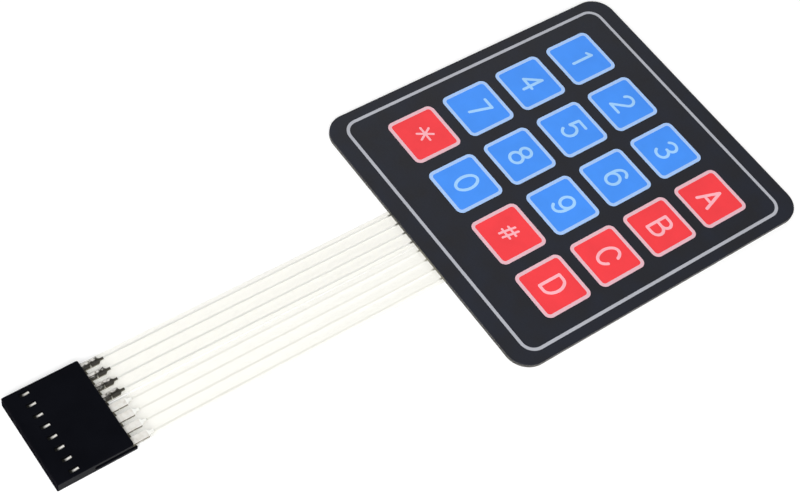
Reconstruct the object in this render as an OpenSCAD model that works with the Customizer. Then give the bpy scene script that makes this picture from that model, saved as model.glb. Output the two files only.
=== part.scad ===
// Membrane keypad: a laminated pad of four rows by four columns of printed keys, with a film tail in two
// halves and an eight-way crimped socket. The origin is the centre of the pad's back face. +X runs along a key
// row from left to right, +Y towards the top row, +Z out of the printed face. The tail leaves towards -Y.

/* [Pad] */
// Width of the pad along a key row
pad_w = 69.2; // [66:0.1:90]
// Height of the pad along a key column
pad_h = 76.9; // [74:0.1:110]
// Radius of the pad's corners
pad_corner_r = 5; // [2:0.1:6]

/* [Keys] */
// Distance between key columns
key_pitch_x = 14.6; // [13:0.1:15]
// Distance between key rows
key_pitch_y = 14.4; // [13:0.1:15]
// Height of the key grid's centre above the pad's centre
key_grid_rise = 1; // [-1:0.1:2]
// Side of a key's coloured field
key_side = 10.2; // [9:0.1:10.6]
// Corner radius of a key's coloured field
key_corner_r = 0.7; // [0.2:0.05:2]
// Width of the pale line round a key
key_line_w = 0.6; // [0.3:0.05:0.8]

/* [Border line] */
// Distance from the pad's side edges to the middle of the border line
border_side_inset = 2.65; // [1.5:0.05:3.5]
// Distance from the pad's top and bottom edges to the middle of the border line
border_end_inset = 3.95; // [2:0.05:6]
// Width of the border line
border_line_w = 0.7; // [0.3:0.05:1.2]
// Corner radius at the middle of the border line
border_corner_r = 2.9; // [1:0.1:5]

/* [Layers] */
// Thickness of the paper release liner
liner_t = 0.12; // [0.08:0.01:0.2]
// Thickness of the mounting adhesive
rear_adhesive_t = 0.1; // [0.05:0.01:0.2]
// Thickness of each circuit film
film_t = 0.125; // [0.1:0.005:0.2]
// Thickness of the spacer between the two circuits
spacer_t = 0.2; // [0.1:0.01:0.4]
// Thickness of the adhesive under the printed face
overlay_adhesive_t = 0.05; // [0.03:0.01:0.1]
// Thickness of the printed face
overlay_t = 0.2; // [0.12:0.01:0.4]
// Depth of the printed fields in the face
print_t = 0.05; // [0.02:0.01:0.1]

/* [Circuit] */
// Thickness of the printed silver lines, let into the film
trace_t = 0.04; // [0.01:0.01:0.08]
// Width of the printed silver lines
trace_w = 0.4; // [0.3:0.05:0.6]
// Diameter of the round contact under each key
contact_pad_d = 7.5; // [5:0.1:8]
// Diameter of the spacer's hole under each key
spacer_hole_d = 9.6; // [8.2:0.1:11]
// Width of the air channels that link the spacer's holes
vent_w = 1.2; // [0.6:0.1:3]

/* [Tail] */
// Length of the tail from the pad's edge to the housing
tail_l = 71; // [50:0.5:120]
// Film beyond the middle of the outermost lines
tail_margin = 1; // [0.9:0.05:1.2]
// Slit between the two halves of the tail
tail_slit = 0.3; // [0.1:0.05:0.5]
// Length of the tail that runs level beyond the crimps
tail_level_l = 1.5; // [0.5:0.5:8]

/* [Socket housing] */
// Distance between neighbouring ways
pin_pitch = 2.54; // [2.5:0.01:3]
// Length of the housing's top along the tail
housing_l = 15.5; // [15:0.1:20]
// Height of the housing
housing_h = 2.6; // [2.5:0.05:3.5]
// Height of the film slot's floor above the table
slot_floor_h = 0.75; // [0.7:0.05:1.1]
// Height of the film slot
slot_h = 1.05; // [0.85:0.05:1.2]
// Depth of the film slot from the top's rear edge
slot_l = 8; // [6.5:0.1:8.5]
// How far the housing's floor reaches past its top at the rear
lip_l = 0.8; // [0.2:0.1:1.5]
// Chamfer on the housing's outer edges
housing_chamfer = 0.15; // [0.05:0.05:0.3]
// Corner chamfer at the rear of the housing's top
rear_corner_cut = 0.3; // [0.2:0.1:1]
// Side of the square pin entries
pin_hole = 0.9; // [0.75:0.05:1]
// Lead-in round each pin entry
pin_lead_in = 0.25; // [0.1:0.05:0.3]
// Thickness of the wall that holds the pin entries
front_wall_t = 1; // [0.6:0.1:1.4]
// Distance from the mating face to the middle of the windows
window_y = 4; // [3.6:0.1:4.4]
// Length of the windows along the tail
window_l = 2; // [1.8:0.1:2.4]
// Width of the windows
window_w = 0.9; // [0.8:0.05:1.2]

/* [Contacts] */
// Thickness of the contacts' sheet metal
contact_t = 0.2; // [0.15:0.01:0.22]
// Width of the box that receives the pin
box_w = 1.5; // [1.4:0.05:1.6]
// Height of the box that receives the pin
box_h = 1.35; // [1.3:0.05:1.45]
// Length of the box that receives the pin
box_l = 5; // [4.5:0.1:5.4]
// Play between a contact and the housing
contact_play = 0.1; // [0.05:0.01:0.12]
// Width of the crimped plate
crimp_w = 1.5; // [1.4:0.05:1.6]
// Length of the crimp that stands out behind the housing
crimp_out_l = 4.7; // [3:0.1:6]
// Width of the narrow tab at the crimp's rear end
tab_w = 0.5; // [0.4:0.05:0.8]
// Length of the narrow tab at the crimp's rear end
tab_l = 0.7; // [0.6:0.1:1.4]
// Length of one crimp tooth along the tail
tooth_l = 1.6; // [1:0.1:1.6]
// Distance between crimp teeth along the tail
tooth_pitch = 1.9; // [1.8:0.1:2.2]
// Height of a tooth's straight leg above the film
tooth_leg_h = 0.1; // [0.05:0.01:0.15]
// Width of the gap between the tips of two facing teeth
tooth_tip_gap = 0.06; // [0.04:0.01:0.1]
// Play between a tooth and its slit in the film
tooth_play = 0.03; // [0.02:0.01:0.04]
// Height of a locking tongue that springs into a window
lance_h = 0.35; // [0.2:0.05:0.4]
// Length of a locking tongue
lance_l = 1.5; // [1:0.1:1.6]
// Width of a locking tongue
lance_w = 0.55; // [0.4:0.05:0.65]
// Gap cut round a locking tongue in the box's wall
lance_gap = 0.12; // [0.08:0.01:0.15]

/* [Hidden] */
$fn = 48;

// Counts that the key layout fixes
key_rows = 4;
key_cols = 4;
ways = key_rows + key_cols;
tooth_pairs = 4;

// Overrun of a cut past the face that it opens
cut = 0.2;

// Bond between the silver ink and the film, left open
ink_bond_t = 0.01;

// Heights of the layers' undersides, from the back face up
rear_adhesive_z = liner_t;
lower_film_z = rear_adhesive_z + rear_adhesive_t;
spacer_z = lower_film_z + film_t;
upper_film_z = spacer_z + spacer_t;
overlay_adhesive_z = upper_film_z + film_t;
overlay_z = overlay_adhesive_z + overlay_adhesive_t;
face_z = overlay_z + overlay_t;
print_z = face_z - print_t;

// Key outline and border line
key_outer_side = key_side + 2 * key_line_w;
key_outer_r = key_corner_r + key_line_w;
border_w = pad_w - 2 * border_side_inset;
border_h = pad_h - 2 * border_end_inset;

// Room left of and below the contacts under the keys, shared out between the lines that run there
side_room = pad_w / 2 - (key_cols - 1) / 2 * key_pitch_x - contact_pad_d / 2;
end_room = pad_h / 2 + key_grid_rise - (key_rows - 1) / 2 * key_pitch_y - contact_pad_d / 2;

// Socket and tail
tail_y = -pad_h / 2;
mate_y = tail_y - tail_l - housing_l;
housing_w = ways * pin_pitch;
pin_z = slot_floor_h + slot_h / 2;
film_half = film_t / 2;
socket_film_z = pin_z - film_half;
film_end_play = 0.4;
tongue_l = tail_l + slot_l - film_end_play;
trace_end_play = 0.3;
trace_end_l = tongue_l - trace_end_play;
tail_climb_l = tail_l - crimp_out_l - tail_level_l;
tail_half_w = (ways / 2 - 0.5) * pin_pitch + tail_margin - tail_slit / 2;
curve_steps = 16;

// Contact stations, measured from the mating face
box_y = front_wall_t + contact_play;
neck_y = box_y + box_l;
plate_y = housing_l - slot_l - contact_play;
plate_end_y = housing_l + crimp_out_l;
tab_y = plate_end_y - tab_l;
taper_y = tab_y - (crimp_w - tab_w) / 2;
neck_w = 1;
neck_lap = 0.3;
cavity_w = max(box_w, crimp_w) + 2 * contact_play;
cavity_h = box_h + 2 * contact_play;
lance_end_y = window_y + window_l / 2 - contact_play;

function key_x(c) = (c - (key_cols - 1) / 2) * key_pitch_x;
function key_y(r) = key_grid_rise + ((key_rows - 1) / 2 - r) * key_pitch_y;
function way_x(i) = (i - (ways - 1) / 2) * pin_pitch;
function is_red(r, c) = c == key_cols - 1 || (r == key_rows - 1 && (c == 0 || c == key_cols - 2));

// Lanes of the lines: rows pass down the left side, and all lines turn along the bottom
function lane_x(r) = -pad_w / 2 + side_room * (r + 1) / (key_rows + 1);
function lane_y(k, n) = tail_y + end_room * (k + 1) / (n + 1);

// Front end of each pair of teeth, counted from the rear
function tooth_y(k) = taper_y - tooth_l - tooth_pitch * k;

// Height of a tongue's underside at a distance from the pad's edge: an easy climb from the pad to the slot
function ease(t) = t * t * (3 - 2 * t);
function tongue_z(d, start_z) = start_z + (socket_film_z - start_z) * ease(min(1, d / tail_climb_l));

// Stations along a tongue of a given length
function tongue_stations(length) = [
    for (k = [0 : curve_steps]) tail_climb_l * k / curve_steps,
    length
];

// Flat shapes

module rounded_rect(w, h, r) {
    square([w - 2 * r, h], center = true);
    square([w, h - 2 * r], center = true);
    for (x = [-1, 1], y = [-1, 1])
        translate([x * (w / 2 - r), y * (h / 2 - r)]) circle(r);
}

module pad_outline() rounded_rect(pad_w, pad_h, pad_corner_r);

module key_outer() rounded_rect(key_outer_side, key_outer_side, key_outer_r);

module key_field() rounded_rect(key_side, key_side, key_corner_r);

module border_line() {
    difference() {
        rounded_rect(border_w + border_line_w, border_h + border_line_w, border_corner_r + border_line_w / 2);
        rounded_rect(border_w - border_line_w, border_h - border_line_w, border_corner_r - border_line_w / 2);
    }
}

// A straight line between two points that share an X or a Y
module line_run(a, b) {
    low = [min(a.x, b.x), min(a.y, b.y)];
    high = [max(a.x, b.x), max(a.y, b.y)];
    translate(low - [trace_w, trace_w] / 2) square(high - low + [trace_w, trace_w]);
}

// One row's contacts, its line down the left side and along the bottom, to the pad's edge
module row_circuit(r) {
    turn = [lane_x(r), lane_y(r, key_rows)];
    exit_x = way_x(r);
    for (c = [0 : key_cols - 1])
        translate([key_x(c), key_y(r)]) circle(d = contact_pad_d);
    line_run([turn.x, key_y(r)], [key_x(key_cols - 1), key_y(r)]);
    line_run([turn.x, key_y(r)], turn);
    line_run(turn, [exit_x, turn.y]);
    line_run([exit_x, turn.y], [exit_x, tail_y + trace_w / 2]);
}

// One column's contacts, and its line along the bottom to the pad's edge
module column_circuit(c) {
    turn = [key_x(c), lane_y(c, key_cols)];
    exit_x = way_x(key_rows + c);
    for (r = [0 : key_rows - 1])
        translate([key_x(c), key_y(r)]) circle(d = contact_pad_d);
    line_run([turn.x, key_y(0)], turn);
    line_run(turn, [exit_x, turn.y]);
    line_run([exit_x, turn.y], [exit_x, tail_y + trace_w / 2]);
}

// Solids shared by several pieces

module layer(z, t) translate([0, 0, z]) linear_extrude(t) pad_outline();

// A band of a tongue between two heights above the film's underside, w wide and centred on x
module tongue_band(x, w, start_z, low, high, length) {
    stations = tongue_stations(length);
    n = len(stations);
    upper = [for (d = stations) [tail_y - d, tongue_z(d, start_z) + high]];
    lower = [for (k = [n - 1 : -1 : 0]) [tail_y - stations[k], tongue_z(stations[k], start_z) + low]];
    translate([x - w / 2, 0, 0]) rotate([90, 0, 90]) linear_extrude(w) polygon(concat(upper, lower));
}

// Slits that the teeth of one contact pierce in the film
module tooth_slits(i) {
    for (k = [0 : tooth_pairs - 1], side = [-1, 1])
        translate([
            way_x(i) + side * (crimp_w - contact_t) / 2 - contact_t / 2 - tooth_play,
            mate_y + tooth_y(k) - tooth_play,
            socket_film_z - cut
        ])
            cube([contact_t + 2 * tooth_play, tooth_l + 2 * tooth_play, film_t + 2 * cut]);
}

// Silver lines of the rows, on top of the lower film; rise and bond widen them into their channels
module row_lines(rise, bond) {
    low = film_t - trace_t - bond;
    translate([0, 0, lower_film_z + low])
        linear_extrude(trace_t + bond + rise)
            for (r = [0 : key_rows - 1]) row_circuit(r);
    for (r = [0 : key_rows - 1])
        tongue_band(way_x(r), trace_w, lower_film_z, low, film_t + rise, trace_end_l);
}

// Silver lines of the columns, under the upper film; drop and bond widen them into their channels
module column_lines(drop, bond) {
    translate([0, 0, upper_film_z - drop])
        linear_extrude(trace_t + bond + drop)
            for (c = [0 : key_cols - 1]) column_circuit(c);
    for (c = [0 : key_cols - 1])
        tongue_band(way_x(key_rows + c), trace_w, upper_film_z, -drop, trace_t + bond, trace_end_l);
}

// Printed face

module graphic_overlay() {
    color("#2d2c32") difference() {
        layer(overlay_z, overlay_t);
        translate([0, 0, print_z]) linear_extrude(print_t + cut) {
            border_line();
            for (r = [0 : key_rows - 1], c = [0 : key_cols - 1])
                translate([key_x(c), key_y(r)]) key_outer();
        }
    }
}

module key_fields(red) {
    translate([0, 0, print_z]) linear_extrude(print_t)
        for (r = [0 : key_rows - 1], c = [0 : key_cols - 1])
            if (is_red(r, c) == red)
                translate([key_x(c), key_y(r)]) key_field();
}

module blue_key_print() color("#4191ff") key_fields(false);

module red_key_print() color("#ff4648") key_fields(true);

module key_outline_print() {
    color("#c3cde6") translate([0, 0, print_z]) linear_extrude(print_t)
        for (r = [0 : key_rows - 1], c = [0 : key_cols - 1])
            translate([key_x(c), key_y(r)]) difference() {
                key_outer();
                key_field();
            }
}

module border_print() color("#aab2c3") translate([0, 0, print_z]) linear_extrude(print_t) border_line();

// Inner layers

module overlay_adhesive() color("#3a393a") layer(overlay_adhesive_z, overlay_adhesive_t);

module upper_circuit_film() {
    color("#f7f5e8") difference() {
        union() {
            layer(upper_film_z, film_t);
            tongue_band(tail_slit / 2 + tail_half_w / 2, tail_half_w, upper_film_z, 0, film_t, tongue_l);
        }
        column_lines(cut, ink_bond_t);
        for (c = [0 : key_cols - 1]) tooth_slits(key_rows + c);
    }
}

module column_traces() color("#d2d1c4") column_lines(0, 0);

module spacer() {
    color("#2f2f34") difference() {
        layer(spacer_z, spacer_t);
        translate([0, 0, spacer_z - cut]) linear_extrude(spacer_t + 2 * cut) {
            for (r = [0 : key_rows - 1], c = [0 : key_cols - 1])
                translate([key_x(c), key_y(r)]) circle(d = spacer_hole_d);
            for (c = [0 : key_cols - 1])
                translate([key_x(c), key_grid_rise])
                    square([vent_w, (key_rows - 1) * key_pitch_y], center = true);
            translate([0, key_y(0)]) square([(key_cols - 1) * key_pitch_x, vent_w], center = true);
        }
    }
}

module lower_circuit_film() {
    color("#f7f5e8") difference() {
        union() {
            layer(lower_film_z, film_t);
            tongue_band(-tail_slit / 2 - tail_half_w / 2, tail_half_w, lower_film_z, 0, film_t, tongue_l);
        }
        row_lines(cut, ink_bond_t);
        for (r = [0 : key_rows - 1]) tooth_slits(r);
    }
}

module row_traces() color("#d2d1c4") row_lines(0, 0);

module rear_adhesive() color("#ded9c6") layer(rear_adhesive_z, rear_adhesive_t);

module release_liner() color("#efe8d2") layer(0, liner_t);

// Socket housing

// Outline of the housing in plan, with small chamfers at the front and larger ones at the rear of the top
module housing_plan(length, rear_cut) {
    half = housing_w / 2;
    front = housing_chamfer;
    polygon([
        [-half + front, 0], [half - front, 0], [half, front], [half, length - rear_cut],
        [half - rear_cut, length], [-half + rear_cut, length], [-half, length - rear_cut], [-half, front]
    ]);
}

// The housing as seen along the tail, with chamfered long edges
module housing_shell() {
    e = housing_chamfer;
    half = housing_w / 2;
    reach = housing_l + lip_l;
    translate([0, reach, 0]) rotate([90, 0, 0]) linear_extrude(reach)
        polygon([
            [-half + e, 0], [half - e, 0], [half, e], [half, housing_h - e],
            [half - e, housing_h], [-half + e, housing_h], [-half, housing_h - e], [-half, e]
        ]);
}

// The housing as seen across the tail, with its floor longer than its top
module housing_side() {
    e = housing_chamfer;
    reach = housing_l + lip_l;
    translate([-housing_w / 2, 0, 0]) rotate([90, 0, 90]) linear_extrude(housing_w)
        polygon([
            [e, 0], [reach - e, 0], [reach, e], [reach, slot_floor_h], [housing_l, slot_floor_h],
            [housing_l, housing_h - e], [housing_l - e, housing_h], [e, housing_h], [0, housing_h - e], [0, e]
        ]);
}

module housing_body() {
    intersection() {
        housing_shell();
        housing_side();
        union() {
            linear_extrude(slot_floor_h) housing_plan(housing_l + lip_l, housing_chamfer);
            translate([0, 0, slot_floor_h])
                linear_extrude(housing_h - slot_floor_h) housing_plan(housing_l, rear_corner_cut);
        }
    }
}

// Square lead-in in front of a pin entry, on the mating face
module pin_lead() {
    wide = pin_hole / 2 + pin_lead_in;
    slim = pin_hole / 2;
    intersection() {
        translate([0, 0, -wide]) linear_extrude(2 * wide)
            polygon([[-wide, 0], [wide, 0], [slim, pin_lead_in], [-slim, pin_lead_in]]);
        translate([-wide, 0, 0]) rotate([90, 0, 90]) linear_extrude(2 * wide)
            polygon([[0, -wide], [0, wide], [pin_lead_in, slim], [pin_lead_in, -slim]]);
    }
}

// Hollow of one way: pin entry, cavity for the contact up to the rear, and a window in each face
module way_hollow() {
    pin_lead();
    translate([-pin_hole / 2, -cut, -pin_hole / 2]) cube([pin_hole, front_wall_t + 2 * cut, pin_hole]);
    translate([-cavity_w / 2, front_wall_t, -cavity_h / 2])
        cube([cavity_w, housing_l + lip_l - front_wall_t + cut, cavity_h]);
    translate([-window_w / 2, window_y - window_l / 2, -pin_z - cut])
        cube([window_w, window_l, housing_h + 2 * cut]);
}

// Film slot across the housing, rounded at its closed end
module film_slot() {
    r = slot_h / 2;
    end_y = housing_l - slot_l + r;
    translate([-housing_w / 2 - cut, 0, pin_z]) rotate([90, 0, 90]) linear_extrude(housing_w + 2 * cut) {
        translate([end_y, 0]) circle(r);
        translate([end_y, -r]) square([slot_l - r + lip_l + cut, slot_h]);
    }
}

module connector_housing() {
    color("#16161b") translate([0, mate_y, 0]) difference() {
        housing_body();
        film_slot();
        for (i = [0 : ways - 1]) translate([way_x(i), 0, pin_z]) way_hollow();
    }
}

// Contacts

// Section of one curled tooth on the +X side: a long leg from the plate, a half turn, a short leg on the film
module tooth_section() {
    half = crimp_w / 2;
    bend_r = (half - tooth_tip_gap / 2) / 2;
    bore_r = bend_r - contact_t;
    bend_x = half - bend_r;
    bend_z = film_half + tooth_leg_h;
    foot_z = -film_half - contact_t;
    difference() {
        union() {
            translate([bend_x, bend_z]) circle(bend_r);
            translate([bend_x - bend_r, foot_z]) square([2 * bend_r, bend_z - foot_z]);
        }
        translate([bend_x, bend_z]) circle(bore_r);
        translate([bend_x - bore_r, foot_z - cut]) square([2 * bore_r, bend_z - foot_z + cut]);
        translate([-cut, foot_z - cut]) square([half - contact_t + cut, film_half - foot_z + cut]);
    }
}

module tooth_pair(k) {
    for (side = [0, 1])
        mirror([side, 0, 0])
            translate([0, tooth_y(k) + tooth_l, 0]) rotate([90, 0, 0])
                linear_extrude(tooth_l) tooth_section();
}

// Flat plate under the film, with a narrow tab at its rear end
module crimp_plate() {
    wide = crimp_w / 2;
    slim = tab_w / 2;
    translate([0, 0, -film_half - contact_t]) linear_extrude(contact_t)
        polygon([
            [-wide, plate_y], [wide, plate_y], [wide, taper_y], [slim, tab_y], [slim, plate_end_y],
            [-slim, plate_end_y], [-slim, tab_y], [-wide, taper_y]
        ]);
}

// Strip that steps up from the box's floor to the crimped plate
module contact_neck() {
    floor_z = -box_h / 2;
    plate_z = -film_half - contact_t;
    translate([-neck_w / 2, 0, 0]) rotate([90, 0, 90]) linear_extrude(neck_w)
        polygon([
            [neck_y - neck_lap, floor_z], [neck_y, floor_z],
            [plate_y, plate_z], [plate_y + neck_lap, plate_z],
            [plate_y + neck_lap, plate_z + contact_t], [plate_y, plate_z + contact_t],
            [neck_y, floor_z + contact_t], [neck_y - neck_lap, floor_z + contact_t]
        ]);
}

// Box that receives the pin, open at both ends, with the cut-outs round its locking tongues
module pin_box() {
    open_w = lance_w + 2 * lance_gap;
    difference() {
        translate([-box_w / 2, box_y, -box_h / 2]) cube([box_w, box_l, box_h]);
        translate([-box_w / 2 + contact_t, box_y - cut, -box_h / 2 + contact_t])
            cube([box_w - 2 * contact_t, box_l + 2 * cut, box_h - 2 * contact_t]);
        translate([-open_w / 2, lance_end_y - lance_l, -box_h])
            cube([open_w, lance_l + lance_gap, 2 * box_h]);
    }
}

// Locking tongue: a strip bent up out of the box's wall, which stops at the rear edge of a window
module lance() {
    root_y = lance_end_y - lance_l;
    base_z = box_h / 2 - contact_t;
    tip_z = base_z + lance_h;
    translate([-lance_w / 2, 0, 0]) rotate([90, 0, 90]) linear_extrude(lance_w)
        polygon([
            [root_y - neck_lap, base_z], [root_y, base_z],
            [lance_end_y, tip_z], [lance_end_y, tip_z + contact_t],
            [root_y, base_z + contact_t], [root_y - neck_lap, base_z + contact_t]
        ]);
}

// One contact, teeth up on the rows' lines and teeth down on the columns' lines
module contact(i) {
    flip = i >= key_rows ? 1 : 0;
    color("#c9c7c0") translate([way_x(i), mate_y, pin_z]) mirror([0, 0, flip]) {
        pin_box();
        lance();
        mirror([0, 0, 1]) lance();
        contact_neck();
        crimp_plate();
        for (k = [0 : tooth_pairs - 1]) tooth_pair(k);
    }
}

graphic_overlay();
blue_key_print();
red_key_print();
key_outline_print();
border_print();
overlay_adhesive();
upper_circuit_film();
column_traces();
spacer();
lower_circuit_film();
row_traces();
rear_adhesive();
release_liner();
connector_housing();
contact(0);  // contact_1
contact(1);  // contact_2
contact(2);  // contact_3
contact(3);  // contact_4
contact(4);  // contact_5
contact(5);  // contact_6
contact(6);  // contact_7
contact(7);  // contact_8
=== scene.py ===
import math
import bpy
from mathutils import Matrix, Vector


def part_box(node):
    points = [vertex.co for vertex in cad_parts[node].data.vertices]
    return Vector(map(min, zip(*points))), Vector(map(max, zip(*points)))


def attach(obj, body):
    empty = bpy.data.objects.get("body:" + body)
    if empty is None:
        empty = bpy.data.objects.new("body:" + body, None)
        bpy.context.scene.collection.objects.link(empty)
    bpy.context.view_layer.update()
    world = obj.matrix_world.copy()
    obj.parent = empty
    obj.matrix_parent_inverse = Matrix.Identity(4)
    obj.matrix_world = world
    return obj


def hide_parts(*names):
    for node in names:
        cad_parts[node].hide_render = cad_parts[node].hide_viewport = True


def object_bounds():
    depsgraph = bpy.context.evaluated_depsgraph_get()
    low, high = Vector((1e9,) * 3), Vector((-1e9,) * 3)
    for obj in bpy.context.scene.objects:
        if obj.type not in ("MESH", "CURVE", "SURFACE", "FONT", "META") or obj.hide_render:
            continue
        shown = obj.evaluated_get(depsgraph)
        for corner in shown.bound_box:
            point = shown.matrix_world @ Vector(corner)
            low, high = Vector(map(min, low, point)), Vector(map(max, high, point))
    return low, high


bl_info = {
    "name": "Membrane keypad finish",
    "version": (1, 0, 0),
    "blender": (4, 5, 0),
    "location": "View3D > Sidebar > Keypad",
    "description": "Prints the keys, finishes every layer, the tail and the socket, and sets up the studio",
    "category": "Object",
}

import bmesh
import bpy
from bpy.props import FloatProperty, FloatVectorProperty, PointerProperty
from mathutils import Matrix, Vector

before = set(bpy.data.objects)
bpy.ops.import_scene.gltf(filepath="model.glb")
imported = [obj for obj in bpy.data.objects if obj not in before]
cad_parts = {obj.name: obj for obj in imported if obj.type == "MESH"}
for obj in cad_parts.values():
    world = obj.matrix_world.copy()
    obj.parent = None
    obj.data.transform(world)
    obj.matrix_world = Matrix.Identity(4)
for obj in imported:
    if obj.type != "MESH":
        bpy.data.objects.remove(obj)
CAD_BOX = [list(corner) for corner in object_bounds()]

MM = 0.001
WAYS = 8
BODY = "root"

# Legends by row, from the top row down
LAYOUT = ("123A", "456B", "789C", "*0#D")
LETTERS, SIGNS = "ABCD", "*#"
ROWS, COLUMNS = len(LAYOUT), len(LAYOUT[0])

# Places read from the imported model: the printed face, the pad's edge at the tail, and the key grid
FACE_LOW, FACE_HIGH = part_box("graphic_overlay")
BLUE_LOW, BLUE_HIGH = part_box("blue_key_print")
RED_LOW, RED_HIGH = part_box("red_key_print")
GRID_HIGH_X = max(BLUE_HIGH.x, RED_HIGH.x)
KEY_PITCH_X = GRID_HIGH_X - BLUE_HIGH.x
KEY_SIDE = BLUE_HIGH.x - BLUE_LOW.x - (COLUMNS - 2) * KEY_PITCH_X
KEY_PITCH_Y = (RED_HIGH.y - RED_LOW.y - KEY_SIDE) / (ROWS - 1)
GRID_Y = (RED_HIGH.y + RED_LOW.y) / 2

# The socket's middle along the tail, the contacts' rear end and pitch, and the film's upper face and
# thickness there
SOCKET_LOW, SOCKET_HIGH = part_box("connector_housing")
CONTACT_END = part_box("contact_1")[1].y
PIN_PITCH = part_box("contact_2")[0].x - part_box("contact_1")[0].x
SOCKET_MIDDLE = (SOCKET_LOW.y + SOCKET_HIGH.y) / 2
FILM_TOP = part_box("row_traces")[1].z
FILM_THICKNESS = 0.125 * MM


def linear(code):
    """Turns an sRGB hex colour into the linear values that shaders use."""
    channels = [int(code[i:i + 2], 16) / 255 for i in (1, 3, 5)]
    return tuple(c / 12.92 if c <= 0.04045 else ((c + 0.055) / 1.055) ** 2.4 for c in channels)


def opaque(colour):
    """Adds the fourth channel that colour sockets hold."""
    return (*colour, 1.0)


def per_metre(size_mm):
    """Scale of a pattern whose features are size_mm across, on coordinates in metres."""
    return 1000 / size_mm


def colour_prop(label, text, code):
    """A colour setting with an sRGB hex colour as its default."""
    return FloatVectorProperty(
        name=label, description=text, default=linear(code), subtype="COLOR", min=0, max=1)


def length_prop(label, text, size_mm):
    """A length setting with a default in millimetres."""
    return FloatProperty(name=label, description=text, default=size_mm * MM, unit="LENGTH", precision=5)


class KeypadPrint(bpy.types.PropertyGroup):
    """Sizes of the key outlines and of the printed digits, letters and signs."""

    outline: length_prop("Outline", "Width of the pale line round a key", 0.78)
    corner: length_prop("Key corner", "Corner radius of a key's field, inside its outline", 0.7)
    height: length_prop("Height", "Height of a digit or letter between the middles of its strokes", 5.17)
    stroke: length_prop("Stroke", "Width of the strokes of digits and letters", 0.68)
    sign_stroke: length_prop("Sign stroke", "Width of the strokes of the star and the hash", 0.5)
    ink: length_prop("Ink", "Thickness of the ink on the face", 0.02)
    rise: length_prop("Rise", "Height of a legend's centre above the key's centre", 0.24)


class KeypadColours(bpy.types.PropertyGroup):
    """Colours of the inks, films, paper, plastic and metal."""

    face: colour_prop("Face", "Black of the printed face", "#17181f")
    face_cool: colour_prop("Face, cool", "Cooler black in the face's faint clouding", "#171b27")
    blue: colour_prop("Blue ink", "Fields of the digit keys", "#4190f6")
    red: colour_prop("Red ink", "Fields of the letter and sign keys", "#f33b42")
    outline_blue: colour_prop("Outline on blue", "Pale line round a blue key", "#a4c6f6")
    outline_red: colour_prop("Outline on red", "Pale line round a red key", "#e5b7c1")
    border: colour_prop("Border ink", "Pale line round the key field", "#aeb0b8")
    legend_blue: colour_prop("Legend on blue", "Pale ink of the digits", "#9fcffc")
    legend_red: colour_prop("Legend on red", "Pale ink of the letters and signs", "#fcb4bd")
    film: colour_prop("Film", "Clear circuit film's faint cream", "#e2dec3")
    silver: colour_prop("Silver ink", "Lines on the left half of the tail", "#e6e6e1")
    silver_under: colour_prop("Silver ink, under film", "Lines on the right half of the tail", "#ffffff")
    # Painted shade on the lines where they come out from under the pad's edge
    silver_in_pad_shade: colour_prop("Silver ink, bare", "Lines where they come out from under the pad", "#66655e")
    spacer: colour_prop("Spacer", "Dark film between the two circuits", "#2f2f34")
    adhesive: colour_prop("Adhesive", "Clear adhesive under the black face", "#3a393a")
    # Painted shade: the clear mounting adhesive takes the dark of the pad's shade as its colour
    mounting_in_shade: colour_prop("Mounting adhesive", "Adhesive on the back, soiled at its cut edge", "#45433d")
    liner: colour_prop("Liner", "Release paper over the adhesive", "#f3f0e8")
    housing: colour_prop("Housing", "Black moulded socket", "#0c0d12")
    tin: colour_prop("Tin", "Plating of the contacts", "#f0eee8")
    tarnish: colour_prop("Tarnish", "Duller patches of the plating", "#dcd8ce")
    # Painted highlight on the tips of the flat plates
    tip_highlight: colour_prop("Polished tin", "Tips of the flat plates, pressed bright", "#fdfdf8")
    # Painted shade and dark reflection on the curled teeth and the left half's tips, also laid on the ink
    # there
    crimp_shade: colour_prop("Worked tin", "Plating smeared and darkened on the curled teeth", "#34312b")
    # Painted shade in the boxes deep in the housing
    box_shade: colour_prop("Boxed tin", "Dull plating of the boxes deep in the housing", "#16150f")
    # Painted shade on the strip's faces that face sideways
    side_shade: colour_prop("Sheared edge", "Bare bronze on the strip's sheared edges", "#6a6458")


class KeypadStudio(bpy.types.PropertyGroup):
    """The camera's place and the light."""

    target: FloatVectorProperty(
        name="Target", description="Point on the table that the camera looks at",
        default=(-1.69 * MM, -41.36 * MM, 0), subtype="TRANSLATION", unit="LENGTH")
    azimuth: FloatProperty(
        name="Azimuth", description="Turn of the camera about the vertical, from the tail's side towards +X",
        default=math.radians(42.36), subtype="ANGLE")
    elevation: FloatProperty(
        name="Elevation", description="Height of the camera above the table as an angle",
        default=math.radians(54.44), subtype="ANGLE")
    roll: FloatProperty(
        name="Roll", description="Turn of the camera about its own view",
        default=math.radians(14.42), subtype="ANGLE")
    distance: length_prop("Distance", "Distance from the camera to its target", 339.5)
    lens: FloatProperty(
        name="Lens", description="Focal length on a 36 mm sensor", default=76.5, subtype="DISTANCE_CAMERA")
    key_level: FloatProperty(
        name="Key light", description="Power of the large soft light", default=12.3, unit="POWER")
    back_level: FloatProperty(
        name="Back light", description="Power of the soft light behind the pad", default=1.0, unit="POWER")
    wall_level: FloatProperty(
        name="Walls", description="Brightness of the studio's pale walls", default=0.75)
    ceiling_level: FloatProperty(
        name="Ceiling", description="Brightness of the studio's dark ceiling", default=0.06)


def add(tree, kind, inputs=None, **settings):
    """Adds one node with its settings, and fills its inputs with values or links them to output sockets."""
    made = tree.nodes.new(kind)
    for key, value in settings.items():
        setattr(made, key, value)
    for key, value in (inputs or {}).items():
        if isinstance(value, bpy.types.NodeSocket):
            tree.links.new(value, made.inputs[key])
        else:
            made.inputs[key].default_value = value
    return made


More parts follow.
